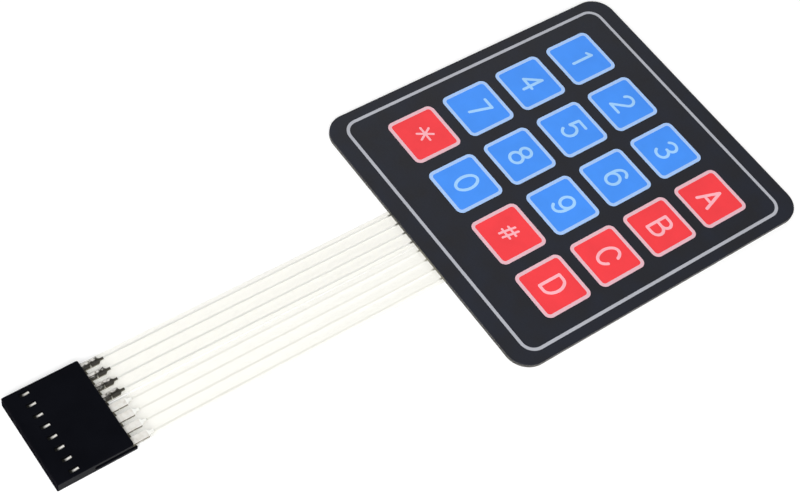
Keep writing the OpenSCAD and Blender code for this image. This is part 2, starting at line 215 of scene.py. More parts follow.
# Sockets of the Mix node when it mixes colours
MIX_A, MIX_B, MIXED = 6, 7, 2


def start_material(name):
    """An empty node material, its tree and its object coordinates in metres."""
    material = bpy.data.materials.new(name)
    material.use_nodes = True
    tree = material.node_tree
    tree.nodes.clear()
    return material, tree, add(tree, "ShaderNodeTexCoord").outputs["Object"]


def end_material(tree, shader):
    """Ends a material's tree with its surface shader."""
    add(tree, "ShaderNodeOutputMaterial", {"Surface": shader.outputs[0]})


# Textured polyester, screen printed on its reverse and seen through the film: an even satin, a fine sparkle
# from the film's grain, and ink that clouds a little from place to place. The real grain is about 0.1 mm and
# is drawn at 0.4 mm so that it shows.
GRAIN_MM, CLOUD_MM = 0.4, 6
GRAIN_DEPTH = 0.012 * MM


def printed_polyester(name, ink, clouded):
    material, tree, place = start_material(name)
    cloud = add(tree, "ShaderNodeTexNoise", {"Vector": place, "Scale": per_metre(CLOUD_MM), "Detail": 3.0})
    grain = add(tree, "ShaderNodeTexNoise", {"Vector": place, "Scale": per_metre(GRAIN_MM), "Detail": 2.0})
    spread = add(tree, "ShaderNodeMapRange", {
        "Value": cloud.outputs["Fac"], "From Min": 0.35, "From Max": 0.65})
    colour = add(tree, "ShaderNodeMix", {0: spread.outputs[0], MIX_A: ink, MIX_B: clouded}, data_type="RGBA")
    satin = add(tree, "ShaderNodeMapRange", {"Value": grain.outputs["Fac"], "To Min": 0.48, "To Max": 0.66})
    bump = add(tree, "ShaderNodeBump", {
        "Strength": 0.3, "Distance": GRAIN_DEPTH, "Height": grain.outputs["Fac"]})
    end_material(tree, add(tree, "ShaderNodeBsdfPrincipled", {
        "Base Color": colour.outputs[MIXED], "Roughness": satin.outputs[0], "Normal": bump.outputs[0],
        "IOR": 1.57, "Specular IOR Level": 0.33}))
    return material


def shaded(colour, share):
    """The same ink where it lies thinner or thicker."""
    return opaque([c * share for c in colour])


# Pale screen ink round the keys: it laps over the edge of each key's field, so it takes a little of the blue
# or the red beneath it.
def key_outline_ink(colours):
    material, tree, place = start_material("screen_ink_pale_key_outline")
    axes = add(tree, "ShaderNodeSeparateXYZ", {0: place})
    last_column = add(tree, "ShaderNodeMath", {0: axes.outputs[0], 1: KEY_PITCH_X}, operation="GREATER_THAN")
    last_row = add(tree, "ShaderNodeMath", {
        0: axes.outputs[1], 1: GRID_Y - KEY_PITCH_Y}, operation="LESS_THAN")
    zero_column = add(tree, "ShaderNodeMath", {
        0: axes.outputs[0], 1: -KEY_PITCH_X / 2, 2: KEY_PITCH_X / 2}, operation="COMPARE")
    signs = add(tree, "ShaderNodeMath", {
        0: last_row.outputs[0], 1: zero_column.outputs[0]}, operation="SUBTRACT")
    red = add(tree, "ShaderNodeMath", {0: signs.outputs[0], 1: last_column.outputs[0]}, operation="MAXIMUM")
    colour = add(tree, "ShaderNodeMix", {
        0: red.outputs[0], MIX_A: opaque(colours.outline_blue),
        MIX_B: opaque(colours.outline_red)}, data_type="RGBA")
    grain = add(tree, "ShaderNodeTexNoise", {"Vector": place, "Scale": per_metre(GRAIN_MM), "Detail": 2.0})
    thin = add(tree, "ShaderNodeMapRange", {"Value": grain.outputs["Fac"], "To Min": 0.88, "To Max": 1.08})
    laid = add(tree, "ShaderNodeVectorMath", {
        0: colour.outputs[MIXED], 3: thin.outputs[0]}, operation="SCALE")
    bump = add(tree, "ShaderNodeBump", {
        "Strength": 0.3, "Distance": GRAIN_DEPTH, "Height": grain.outputs["Fac"]})
    end_material(tree, add(tree, "ShaderNodeBsdfPrincipled", {
        "Base Color": laid.outputs[0], "Normal": bump.outputs[0], "Roughness": 0.55, "IOR": 1.57}))
    return material


# Clear polyester film, extruded and calendered: it lets nearly all light through, with a breath of cream, a
# smooth gloss and a faint haze.
HAZE_MM = 4
FILM_COVER = 0.12


def clear_polyester(colours):
    material, tree, place = start_material("clear_polyester_film")
    haze = add(tree, "ShaderNodeTexNoise", {"Vector": place, "Scale": per_metre(HAZE_MM), "Detail": 2.0})
    tint = add(tree, "ShaderNodeMix", {
        0: haze.outputs["Fac"], MIX_A: opaque(colours.film),
        MIX_B: shaded(colours.film, 0.94)}, data_type="RGBA")
    gloss = add(tree, "ShaderNodeMapRange", {"Value": haze.outputs["Fac"], "To Min": 0.14, "To Max": 0.26})
    end_material(tree, add(tree, "ShaderNodeBsdfPrincipled", {
        "Base Color": tint.outputs[MIXED], "Roughness": gloss.outputs[0], "IOR": 1.6, "Alpha": FILM_COVER}))
    return material


# Printed silver ink, flakes bound in resin: it reads as a matt pale paint with a faint speckle. It is whiter
# on the right half of the tail, where the film lies over it, and greyer towards the socket. Painted shade
# darkens it where the lines come out from under the pad, and in the crimps of the left half. Flakes of 0.02
# mm are drawn at 0.3 mm so that they show.
FLAKE_MM = 0.3
SOCKET_GREYING = 0.9
# Length of the painted shade beyond the pad's edge, and where it is full
PAD_SHADE_LENGTH, PAD_SHADE_FULL = 1.3 * MM, 0.3 * MM


def silver_ink(colours):
    material, tree, place = start_material("printed_silver_ink")
    edge = FACE_LOW.y
    axes = add(tree, "ShaderNodeSeparateXYZ", {0: place})
    along = axes.outputs[1]
    # Painted shade on the lines next to the pad's edge
    pad_edge_shade = add(tree, "ShaderNodeMapRange", {
        "Value": along, "From Min": edge - PAD_SHADE_LENGTH, "From Max": edge - PAD_SHADE_FULL},
        interpolation_type="SMOOTHSTEP")
    left = add(tree, "ShaderNodeMath", {0: axes.outputs[0], 1: 0.0}, operation="LESS_THAN")
    ink = add(tree, "ShaderNodeMix", {
        0: left.outputs[0], MIX_A: opaque(colours.silver_under),
        MIX_B: opaque(colours.silver)}, data_type="RGBA")
    flakes = add(tree, "ShaderNodeTexNoise", {"Vector": place, "Scale": per_metre(FLAKE_MM), "Detail": 2.0})
    speckle = add(tree, "ShaderNodeMapRange", {"Value": flakes.outputs["Fac"], "To Min": 0.9, "To Max": 1.05})
    greying = add(tree, "ShaderNodeMapRange", {
        "Value": along, "From Min": SOCKET_HIGH.y, "From Max": edge, "To Min": SOCKET_GREYING, "To Max": 1.0})
    level = add(tree, "ShaderNodeMath", {0: speckle.outputs[0], 1: greying.outputs[0]}, operation="MULTIPLY")
    laid = add(tree, "ShaderNodeVectorMath", {0: ink.outputs[MIXED], 3: level.outputs[0]}, operation="SCALE")
    colour = add(tree, "ShaderNodeMix", {
        0: pad_edge_shade.outputs[0], MIX_A: laid.outputs[0], MIX_B: opaque(colours.silver_in_pad_shade)}, data_type="RGBA")
    # Painted shade on the ink in the crimps of the left half
    end = add(tree, "ShaderNodeMath", {0: along, 1: CONTACT_END}, operation="LESS_THAN")
    crimped_ink_shade = add(tree, "ShaderNodeMath", {0: left.outputs[0], 1: end.outputs[0]}, operation="MULTIPLY")
    colour = add(tree, "ShaderNodeMix", {
        0: crimped_ink_shade.outputs[0], MIX_A: colour.outputs[MIXED], MIX_B: opaque(colours.crimp_shade)}, data_type="RGBA")
    matt = add(tree, "ShaderNodeMapRange", {"Value": flakes.outputs["Fac"], "To Min": 0.4, "To Max": 0.6})
    end_material(tree, add(tree, "ShaderNodeBsdfPrincipled", {
        "Base Color": colour.outputs[MIXED], "Roughness": matt.outputs[0], "IOR": 1.5}))
    return material


# Acrylic adhesive and tinted spacer film, seen only as cut edges: soft, slightly uneven bands. The mounting
# adhesive's dark colour is painted shade, the shade it lies in under the pad.
UNEVEN_MM = 0.8


def laminate_layer(name, colour, roughness):
    material, tree, place = start_material(name)
    uneven = add(tree, "ShaderNodeTexNoise", {"Vector": place, "Scale": per_metre(UNEVEN_MM), "Detail": 3.0})
    tint = add(tree, "ShaderNodeMix", {
        0: uneven.outputs["Fac"], MIX_A: shaded(colour, 0.8), MIX_B: shaded(colour, 1.15)}, data_type="RGBA")
    end_material(tree, add(tree, "ShaderNodeBsdfPrincipled", {
        "Base Color": tint.outputs[MIXED], "Roughness": roughness, "IOR": 1.49}))
    return material


# Siliconised release paper: cream, lightly fibrous, with the low sheen of its coating. Its die-cut edge is
# dark with painted shade from the pad above it.
FIBRE_MM, MOTTLE_MM = 0.5, 7
FIBRE_DEPTH = 0.02 * MM
CUT_EDGE_SHADE = 0.04


def release_paper(colours):
    material, tree, place = start_material("siliconised_release_paper")
    stretched = add(tree, "ShaderNodeMapping", {"Vector": place, "Scale": (1.0, 0.25, 1.0)})
    fibres = add(tree, "ShaderNodeTexNoise", {
        "Vector": stretched.outputs[0], "Scale": per_metre(FIBRE_MM), "Detail": 5.0, "Roughness": 0.65})
    cloud = add(tree, "ShaderNodeTexNoise", {"Vector": place, "Scale": per_metre(MOTTLE_MM), "Detail": 3.0})
    both = add(tree, "ShaderNodeMath", {
        0: fibres.outputs["Fac"], 1: cloud.outputs["Fac"]}, operation="MULTIPLY")
    amount = add(tree, "ShaderNodeMapRange", {"Value": both.outputs[0], "From Min": 0.1, "From Max": 0.42})
    tint = add(tree, "ShaderNodeMix", {
        0: amount.outputs[0], MIX_A: shaded(colours.liner, 0.84),
        MIX_B: opaque(colours.liner)}, data_type="RGBA")
    # Painted shade on the paper's cut edge, where its faces don't face up or down
    facing = add(tree, "ShaderNodeSeparateXYZ", {
        0: add(tree, "ShaderNodeNewGeometry").outputs["True Normal"]})
    flatness = add(tree, "ShaderNodeMath", {0: facing.outputs[2]}, operation="ABSOLUTE")
    edge = add(tree, "ShaderNodeMath", {0: flatness.outputs[0], 1: 0.5}, operation="LESS_THAN")
    colour = add(tree, "ShaderNodeMix", {
        0: edge.outputs[0], MIX_A: tint.outputs[MIXED],
        MIX_B: shaded(colours.liner, CUT_EDGE_SHADE)}, data_type="RGBA")
    bump = add(tree, "ShaderNodeBump", {
        "Strength": 0.35, "Distance": FIBRE_DEPTH, "Height": fibres.outputs["Fac"]})
    end_material(tree, add(tree, "ShaderNodeBsdfPrincipled", {
        "Base Color": colour.outputs[MIXED], "Normal": bump.outputs[0], "Roughness": 0.5, "IOR": 1.45}))
    return material


# Black glass-filled nylon, injection moulded in a spark-eroded tool: near black, a faint blue, a soft sheen
# that breaks up in the tool's grain. The mating end is dull. The grain of 0.05 mm is drawn at 0.35 mm so that
# it shows.
TOOL_GRAIN_MM, FLOW_MM = 0.35, 5


def moulded_nylon(colours):
    material, tree, place = start_material("moulded_black_nylon")
    grain = add(tree, "ShaderNodeTexNoise", {
        "Vector": place, "Scale": per_metre(TOOL_GRAIN_MM), "Detail": 3.0})
    flow = add(tree, "ShaderNodeTexNoise", {"Vector": place, "Scale": per_metre(FLOW_MM), "Detail": 2.0})
    tint = add(tree, "ShaderNodeMix", {
        0: flow.outputs["Fac"], MIX_A: shaded(colours.housing, 0.7), MIX_B: shaded(colours.housing, 1.3)},
        data_type="RGBA")
    sheen = add(tree, "ShaderNodeMapRange", {"Value": grain.outputs["Fac"], "To Min": 0.24, "To Max": 0.4})
    facing = add(tree, "ShaderNodeSeparateXYZ", {
        0: add(tree, "ShaderNodeNewGeometry").outputs["True Normal"]})
    dull = add(tree, "ShaderNodeMapRange", {
        "Value": facing.outputs[1], "From Min": -0.6, "From Max": -0.3, "To Min": 1.0, "To Max": 0.0})
    roughness = add(tree, "ShaderNodeMath", {0: sheen.outputs[0], 1: dull.outputs[0]}, operation="MAXIMUM")
    bump = add(tree, "ShaderNodeBump", {
        "Strength": 0.3, "Distance": GRAIN_DEPTH, "Height": grain.outputs["Fac"]})
    end_material(tree, add(tree, "ShaderNodeBsdfPrincipled", {
        "Base Color": tint.outputs[MIXED], "Roughness": roughness.outputs[0], "Normal": bump.outputs[0],
        "IOR": 1.53, "Specular IOR Level": 0.03}))
    return material


# Tin-plated phosphor bronze strip, stamped and folded: matt pale metal with rolling lines along the strip and
# a few duller patches. Painted shade and dark reflection cover the curled teeth, which stand above the film
# on the left half of the socket and below it on the right half, and the pointed tips of that left half. They
# are heaviest along one side of each contact and towards the tips, broken up by noise. The tips of the right
# half carry a painted highlight. Painted shade covers the boxes deep in the housing and the sides of the
# tongues that spring from them into the windows, leaving a lit patch along each tongue's middle. Painted
# shade darkens the faces that face sideways.
ROLLING_MM, PATCH_MM = 0.12, 0.9
ROLLING_DEPTH = 0.006 * MM
# Height band and width of the lit patch along each tongue's middle, outside the painted shade
LIT_STARTS, LIT_ENDS = 0.72 * MM, 0.85 * MM
LIT_HALF_WIDTH, LIT_FADE = 0.12 * MM, 0.16 * MM
TIP_LENGTH = 1.2 * MM
SHADE_LEAN = 0.35


def tinned_bronze(colours):
    material, tree, place = start_material("tinned_phosphor_bronze")
    drawn = add(tree, "ShaderNodeMapping", {"Vector": place, "Scale": (1.0, 0.08, 1.0)})
    rolled = add(tree, "ShaderNodeTexNoise", {
        "Vector": drawn.outputs[0], "Scale": per_metre(ROLLING_MM), "Detail": 3.0})
    patch = add(tree, "ShaderNodeTexNoise", {"Vector": place, "Scale": per_metre(PATCH_MM), "Detail": 3.0})
    dull = add(tree, "ShaderNodeMapRange", {
        "Value": patch.outputs["Fac"], "From Min": 0.45, "From Max": 0.75})
    tint = add(tree, "ShaderNodeMix", {
        0: dull.outputs[0], MIX_A: opaque(colours.tin), MIX_B: opaque(colours.tarnish)}, data_type="RGBA")
    axes = add(tree, "ShaderNodeSeparateXYZ", {0: place})
    half = add(tree, "ShaderNodeMath", {0: axes.outputs[0]}, operation="SIGN")
    height = add(tree, "ShaderNodeMath", {
        0: axes.outputs[2], 1: FILM_TOP - FILM_THICKNESS / 2}, operation="SUBTRACT")
    beyond = add(tree, "ShaderNodeMath", {0: height.outputs[0], 1: half.outputs[0]}, operation="MULTIPLY")
    curled = add(tree, "ShaderNodeMath", {0: beyond.outputs[0], 1: -FILM_THICKNESS}, operation="LESS_THAN")
    crimped = add(tree, "ShaderNodeMath", {0: axes.outputs[1], 1: SOCKET_MIDDLE}, operation="GREATER_THAN")
    teeth = add(tree, "ShaderNodeMath", {0: curled.outputs[0], 1: crimped.outputs[0]}, operation="MULTIPLY")
    left = add(tree, "ShaderNodeMath", {0: axes.outputs[0], 1: 0.0}, operation="LESS_THAN")
    end = add(tree, "ShaderNodeMath", {
        0: axes.outputs[1], 1: CONTACT_END - TIP_LENGTH}, operation="GREATER_THAN")
    tips = add(tree, "ShaderNodeMath", {0: left.outputs[0], 1: end.outputs[0]}, operation="MULTIPLY")
    # Painted shade and dark reflection on the curled teeth and the left half's tips
    dark = add(tree, "ShaderNodeMath", {0: teeth.outputs[0], 1: tips.outputs[0]}, operation="MAXIMUM")
    pitches = add(tree, "ShaderNodeMath", {0: axes.outputs[0], 1: PIN_PITCH}, operation="DIVIDE")
    across = add(tree, "ShaderNodeMath", {0: pitches.outputs[0]}, operation="FRACT")
    along = add(tree, "ShaderNodeMapRange", {
        "Value": axes.outputs[1], "From Min": SOCKET_HIGH.y, "From Max": CONTACT_END})
    # The painted shade is heavier on one side of each contact and towards the tips
    leaning = add(tree, "ShaderNodeMath", {
        0: along.outputs[0], 1: SHADE_LEAN, 2: across.outputs[0]}, operation="MULTIPLY_ADD")
    speckle = add(tree, "ShaderNodeMath", {0: leaning.outputs[0], 1: patch.outputs["Fac"]}, operation="ADD")
    shade_amount = add(tree, "ShaderNodeMapRange", {
        "Value": speckle.outputs[0], "From Min": 0.95, "From Max": 1.15, "To Min": 0.25, "To Max": 1.0})
    crimp_shade = add(tree, "ShaderNodeMath", {0: dark.outputs[0], 1: shade_amount.outputs[0]}, operation="MULTIPLY")
    # Painted shade on the faces that face sideways
    facing = add(tree, "ShaderNodeSeparateXYZ", {
        0: add(tree, "ShaderNodeNewGeometry").outputs["True Normal"]})
    sideways = add(tree, "ShaderNodeMath", {0: facing.outputs[0]}, operation="ABSOLUTE")
    edges = add(tree, "ShaderNodeMath", {0: sideways.outputs[0], 1: 0.9}, operation="GREATER_THAN")
    colour = add(tree, "ShaderNodeMix", {
        0: edges.outputs[0], MIX_A: tint.outputs[MIXED], MIX_B: opaque(colours.side_shade)}, data_type="RGBA")
    # Painted highlight on the contacts' tips; the left half's tips are shaded over it below
    colour = add(tree, "ShaderNodeMix", {
        0: end.outputs[0], MIX_A: colour.outputs[MIXED], MIX_B: opaque(colours.tip_highlight)}, data_type="RGBA")
    colour = add(tree, "ShaderNodeMix", {
        0: crimp_shade.outputs[0], MIX_A: colour.outputs[MIXED], MIX_B: opaque(colours.crimp_shade)}, data_type="RGBA")
    # Painted shade inside the housing, leaving a lit patch along each tongue's middle
    away = add(tree, "ShaderNodeMath", {0: height.outputs[0]}, operation="ABSOLUTE")
    below_lit_patch = add(tree, "ShaderNodeMapRange", {
        "Value": away.outputs[0], "From Min": LIT_STARTS, "From Max": LIT_ENDS, "To Min": 1.0, "To Max": 0.0})
    aside = add(tree, "ShaderNodeMath", {0: across.outputs[0], 1: 0.5}, operation="SUBTRACT")
    from_middle = add(tree, "ShaderNodeMath", {0: aside.outputs[0]}, operation="ABSOLUTE")
    rounded = add(tree, "ShaderNodeMapRange", {
        "Value": from_middle.outputs[0], "From Min": LIT_HALF_WIDTH / PIN_PITCH,
        "From Max": (LIT_HALF_WIDTH + LIT_FADE) / PIN_PITCH})
    unlit = add(tree, "ShaderNodeMath", {0: below_lit_patch.outputs[0], 1: rounded.outputs[0]}, operation="MAXIMUM")
    inside = add(tree, "ShaderNodeMath", {0: axes.outputs[1], 1: SOCKET_MIDDLE}, operation="LESS_THAN")
    box_shade = add(tree, "ShaderNodeMath", {0: unlit.outputs[0], 1: inside.outputs[0]}, operation="MULTIPLY")
    colour = add(tree, "ShaderNodeMix", {
        0: box_shade.outputs[0], MIX_A: colour.outputs[MIXED], MIX_B: opaque(colours.box_shade)}, data_type="RGBA")
    polish = add(tree, "ShaderNodeMapRange", {"Value": rolled.outputs["Fac"], "To Min": 0.38, "To Max": 0.52})
    bump = add(tree, "ShaderNodeBump", {
        "Strength": 0.2, "Distance": ROLLING_DEPTH, "Height": rolled.outputs["Fac"]})
    end_material(tree, add(tree, "ShaderNodeBsdfPrincipled", {
        "Base Color": colour.outputs[MIXED], "Metallic": 0.2, "Roughness": polish.outputs[0],
        "Normal": bump.outputs[0]}))
    return material


# Matt white table paper: white to the eye and to reflections, and it keeps the soft shadow. From below it is
# clear, so that the back of the pad can be looked at.
TABLE_ALBEDO, TABLE_LIFT = 0.8, 0.25


def table_paper():
    material, tree, _ = start_material("matt_white_table_paper")
    rays = add(tree, "ShaderNodeLightPath")
    seen = rays.outputs["Is Camera Ray"]
    for kind in ("Is Glossy Ray", "Is Transmission Ray"):
        seen = add(tree, "ShaderNodeMath", {0: seen, 1: rays.outputs[kind]}, operation="MAXIMUM").outputs[0]
    lift = add(tree, "ShaderNodeMath", {0: seen, 1: TABLE_LIFT}, operation="MULTIPLY")
    paper = add(tree, "ShaderNodeBsdfDiffuse", {"Color": opaque((TABLE_ALBEDO,) * 3)})
    glow = add(tree, "ShaderNodeEmission", {"Strength": lift.outputs[0]})
    lit = add(tree, "ShaderNodeAddShader", {0: paper.outputs[0], 1: glow.outputs[0]})
    clear = add(tree, "ShaderNodeBsdfTransparent")
    side = add(tree, "ShaderNodeNewGeometry")
    end_material(tree, add(tree, "ShaderNodeMixShader", {
        0: side.outputs["Backfacing"], 1: lit.outputs[0], 2: clear.outputs[0]}))
    return material


def finish_node(name, material):
    """Gives a CAD node its finished material."""
    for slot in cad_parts[name].material_slots:
        slot.material = material


# Pen paths of the legends, in millimetres about the legend's centre, for a height of 5.5
PEN_HEIGHT = 5.5
ARC_STEP = 7.5
STAR_STEPS = round(60 / ARC_STEP)


def arc(x, y, rx, ry, start, end):
    """Points along part of an ellipse, from one angle to another in degrees."""
    count = max(2, round(abs(end - start) / ARC_STEP))
    turns = [math.radians(start + (end - start) * k / count) for k in range(count + 1)]
    return [(x + rx * math.cos(t), y + ry * math.sin(t)) for t in turns]


def ring(x, y, rx, ry):
    """A whole ellipse, as a path that ends where it starts."""
    return arc(x, y, rx, ry, 0, 360)


PENS = {
    "0": [ring(0, 0, 1.65, 2.8)],
    "1": [[(0.45, 2.75), (0.45, -2.75)], [(0.45, 2.75), (-0.6, 2.05)]],
    "2": [arc(0.05, 1.3, 1.4, 1.45, 170, -36) + [(-1.4, -2.75)], [(-1.4, -2.75), (1.5, -2.75)]],
    "3": [arc(0, 1.45, 1.35, 1.3, 158, -90), arc(0, -1.3, 1.5, 1.45, 90, -158)],
    "4": [[(0.75, 2.75), (-1.7, -0.95)], [(-1.7, -0.95), (1.55, -0.95)], [(0.75, 2.75), (0.75, -2.75)]],
    "5": [[(-1.1, 2.75), (1.4, 2.75)], [(-1.1, 2.75), (-1.3, 0.2)], arc(0, -0.95, 1.5, 1.8, 140, -150)],
    "6": [ring(0.1, -1, 1.47, 1.75), arc(0.2, 0.35, 1.57, 2.4, 42, 180) + [(-1.37, -1)]],
    "7": [[(-1.25, 2.7), (1.4, 2.7)], [(1.4, 2.7), (-0.1, -2.7)]],
    "8": [ring(0, 1.5, 1.32, 1.25), ring(0, -1.25, 1.51, 1.5)],
    "9": [ring(0, 1, 1.46, 1.75), arc(-0.1, -0.35, 1.56, 2.4, -138, 0) + [(1.46, 1)]],
    "A": [[(0, 2.75), (-1.73, -2.75)], [(0, 2.75), (1.73, -2.75)], [(-1.15, -0.95), (1.15, -0.95)]],
    "B": [
        [(-1.4, 2.75), (-1.4, -2.75)],
        [(-1.4, 2.75)] + arc(0.1, 1.5, 1.28, 1.25, 90, -90) + [(-1.4, 0.25)],
        [(-1.4, 0.25)] + arc(0.2, -1.25, 1.56, 1.5, 90, -90) + [(-1.4, -2.75)],
    ],
    "C": [arc(0.2, 0, 1.78, 2.8, 30, 330)],
    "D": [
        [(-1.55, 2.75), (-1.55, -2.75)],
        [(-1.55, 2.75)] + arc(-0.2, 0, 1.85, 2.75, 90, -90) + [(-1.55, -2.75)],
    ],
    "*": [[(-x, -y), (x, y)] for x, y in arc(0, 0, 1.9, 1.9, 0, 120)[::STAR_STEPS]],
    "#": [
        [(-1.1, -2), (-0.6, 2)], [(0.15, -2), (0.65, 2)],
        [(-1.65, -0.8), (1.15, -0.8)], [(-1.5, 0.8), (1.3, 0.8)],
    ],
}


def pen_mesh(name, legends, sizes):
    """Edges along every stroke of the given legends, each at its key and on the face."""
    scale = sizes.height / PEN_HEIGHT
    made = bmesh.new()
    for row, line in enumerate(LAYOUT):
        for column, legend in enumerate(line):
            if legend not in legends:
                continue
            middle = Vector((
                (column - (COLUMNS - 1) / 2) * KEY_PITCH_X,
                GRID_Y + ((ROWS - 1) / 2 - row) * KEY_PITCH_Y + sizes.rise, 0))
            for path in PENS[legend]:
                closed = math.dist(path[0], path[-1]) < 1e-6
                points = path[:-1] if closed else path
                verts = [made.verts.new(middle + Vector((x, y, 0)) * scale) for x, y in points]
                for first, second in zip(verts, verts[1:] + verts[:1] if closed else verts[1:]):
                    made.edges.new((first, second))
    mesh = bpy.data.meshes.new(name)
    made.to_mesh(mesh)
    made.free()
    return mesh


def lay_ink(tree, given, shape, name):
    """Lays flat bands of ink on the printed face and ends their tree."""
    height = add(tree, "ShaderNodeMath", {
        0: given["Ink thickness"], 1: 0.5, 2: given["Face height"]}, operation="MULTIPLY_ADD")
    lift = add(tree, "ShaderNodeCombineXYZ", {2: height.outputs[0]})
    single = add(tree, "GeometryNodeRealizeInstances", {0: shape})
    raised = add(tree, "GeometryNodeSetPosition", {"Geometry": single.outputs[0], "Offset": lift.outputs[0]})
    flat = add(tree, "GeometryNodeSetShadeSmooth", {"Geometry": raised.outputs[0], "Shade Smooth": False})
    inked = add(tree, "GeometryNodeSetMaterial", {"Geometry": flat.outputs[0], "Material": given["Ink"]})
    add(tree, "NodeGroupOutput", {name: inked.outputs[0]})


CAP_SIDES = 20


def legend_tree():
    """Sweeps a band of ink along pen paths, rounds their ends and joins a legend's strokes into one."""
    tree = bpy.data.node_groups.new("legend_strokes", "GeometryNodeTree")
    face = tree.interface
    face.new_socket("Paths", in_out="INPUT", socket_type="NodeSocketGeometry")
    for label in ("Stroke width", "Ink thickness", "Face height"):
        face.new_socket(label, in_out="INPUT", socket_type="NodeSocketFloat")
    face.new_socket("Ink", in_out="INPUT", socket_type="NodeSocketMaterial")
    face.new_socket("Legends", in_out="OUTPUT", socket_type="NodeSocketGeometry")
    given = add(tree, "NodeGroupInput").outputs
    paths = add(tree, "GeometryNodeMeshToCurve", {"Mesh": given["Paths"]})
    upright = add(tree, "GeometryNodeSetCurveNormal", {"Curve": paths.outputs[0]}, mode="Z_UP")
    band = add(tree, "GeometryNodeCurvePrimitiveQuadrilateral", {
        "Width": given["Stroke width"], "Height": given["Ink thickness"]})
    swept = add(tree, "GeometryNodeCurveToMesh", {
        "Curve": upright.outputs[0], "Profile Curve": band.outputs[0], "Fill Caps": True})
    radius = add(tree, "ShaderNodeMath", {0: given["Stroke width"], 1: 0.5}, operation="MULTIPLY")
    cap = add(tree, "GeometryNodeMeshCylinder", {
        "Vertices": CAP_SIDES, "Radius": radius.outputs[0], "Depth": given["Ink thickness"]})
    ends = add(tree, "GeometryNodeCurveEndpointSelection")
    capped = add(tree, "GeometryNodeInstanceOnPoints", {
        "Points": paths.outputs[0], "Selection": ends.outputs[0], "Instance": cap.outputs["Mesh"]})
    real = add(tree, "GeometryNodeRealizeInstances", {0: capped.outputs[0]})
    strokes = add(tree, "GeometryNodeJoinGeometry", {0: swept.outputs[0]})
    tree.links.new(real.outputs[0], strokes.inputs[0])
    whole = add(tree, "GeometryNodeMeshBoolean", {
        "Mesh 2": strokes.outputs[0], "Self Intersection": True}, operation="UNION", solver="EXACT")
    lay_ink(tree, given, whole.outputs[0], "Legends")
    return tree


CORNER_STEPS = 8


def outline_tree():
    """Sweeps a flat band of ink round the field of a key and repeats it over the grid of keys."""
    tree = bpy.data.node_groups.new("key_outlines", "GeometryNodeTree")
    face = tree.interface
    for label in (
            "Key side", "Corner radius", "Line width", "Pitch X", "Pitch Y", "Ink thickness", "Face height"):
        face.new_socket(label, in_out="INPUT", socket_type="NodeSocketFloat")
    face.new_socket("Ink", in_out="INPUT", socket_type="NodeSocketMaterial")
    face.new_socket("Outlines", in_out="OUTPUT", socket_type="NodeSocketGeometry")
    given = add(tree, "NodeGroupInput").outputs
    side = add(tree, "ShaderNodeMath", {0: given["Key side"], 1: given["Line width"]}, operation="ADD")
    radius = add(tree, "ShaderNodeMath", {
        0: given["Line width"], 1: 0.5, 2: given["Corner radius"]}, operation="MULTIPLY_ADD")
    square = add(tree, "GeometryNodeCurvePrimitiveQuadrilateral", {
        "Width": side.outputs[0], "Height": side.outputs[0]})
    rounded = add(tree, "GeometryNodeFilletCurve", {
        "Curve": square.outputs[0], "Count": CORNER_STEPS, "Radius": radius.outputs[0]}, mode="POLY")
    upright = add(tree, "GeometryNodeSetCurveNormal", {"Curve": rounded.outputs[0]}, mode="Z_UP")
    band = add(tree, "GeometryNodeCurvePrimitiveQuadrilateral", {
        "Width": given["Line width"], "Height": given["Ink thickness"]})
    swept = add(tree, "GeometryNodeCurveToMesh", {
        "Curve": upright.outputs[0], "Profile Curve": band.outputs[0]})
    span_x = add(tree, "ShaderNodeMath", {0: given["Pitch X"], 1: COLUMNS - 1.0}, operation="MULTIPLY")
    span_y = add(tree, "ShaderNodeMath", {0: given["Pitch Y"], 1: ROWS - 1.0}, operation="MULTIPLY")
    keys = add(tree, "GeometryNodeMeshGrid", {
        "Size X": span_x.outputs[0], "Size Y": span_y.outputs[0], "Vertices X": COLUMNS, "Vertices Y": ROWS})
    placed = add(tree, "GeometryNodeTransform", {
        "Geometry": keys.outputs["Mesh"], "Translation": (0, GRID_Y, 0)})
    lines = add(tree, "GeometryNodeInstanceOnPoints", {
        "Points": placed.outputs[0], "Instance": swept.outputs[0]})
    lay_ink(tree, given, lines.outputs[0], "Outlines")
    return tree


def set_inputs(modifier, values):
    """Sets a node modifier's inputs by their names."""
    for item in modifier.node_group.interface.items_tree:
        if item.item_type == "SOCKET" and item.in_out == "INPUT" and item.name in values:
            modifier[item.identifier] = values[item.name]


def bake_modifiers(piece):
    """Turns a piece's evaluated shape into its plain mesh."""
    evaluated = piece.evaluated_get(bpy.context.evaluated_depsgraph_get())
    mesh = bpy.data.meshes.new_from_object(evaluated)
    piece.modifiers.clear()
    piece.data = mesh
    if not mesh.polygons:
        raise RuntimeError(f"{piece.name} came out empty")


def show(name, data):
    """Adds an object with the given mesh, light or camera to the scene."""
    made = bpy.data.objects.new(name, data)
    bpy.context.scene.collection.objects.link(made)
    return made


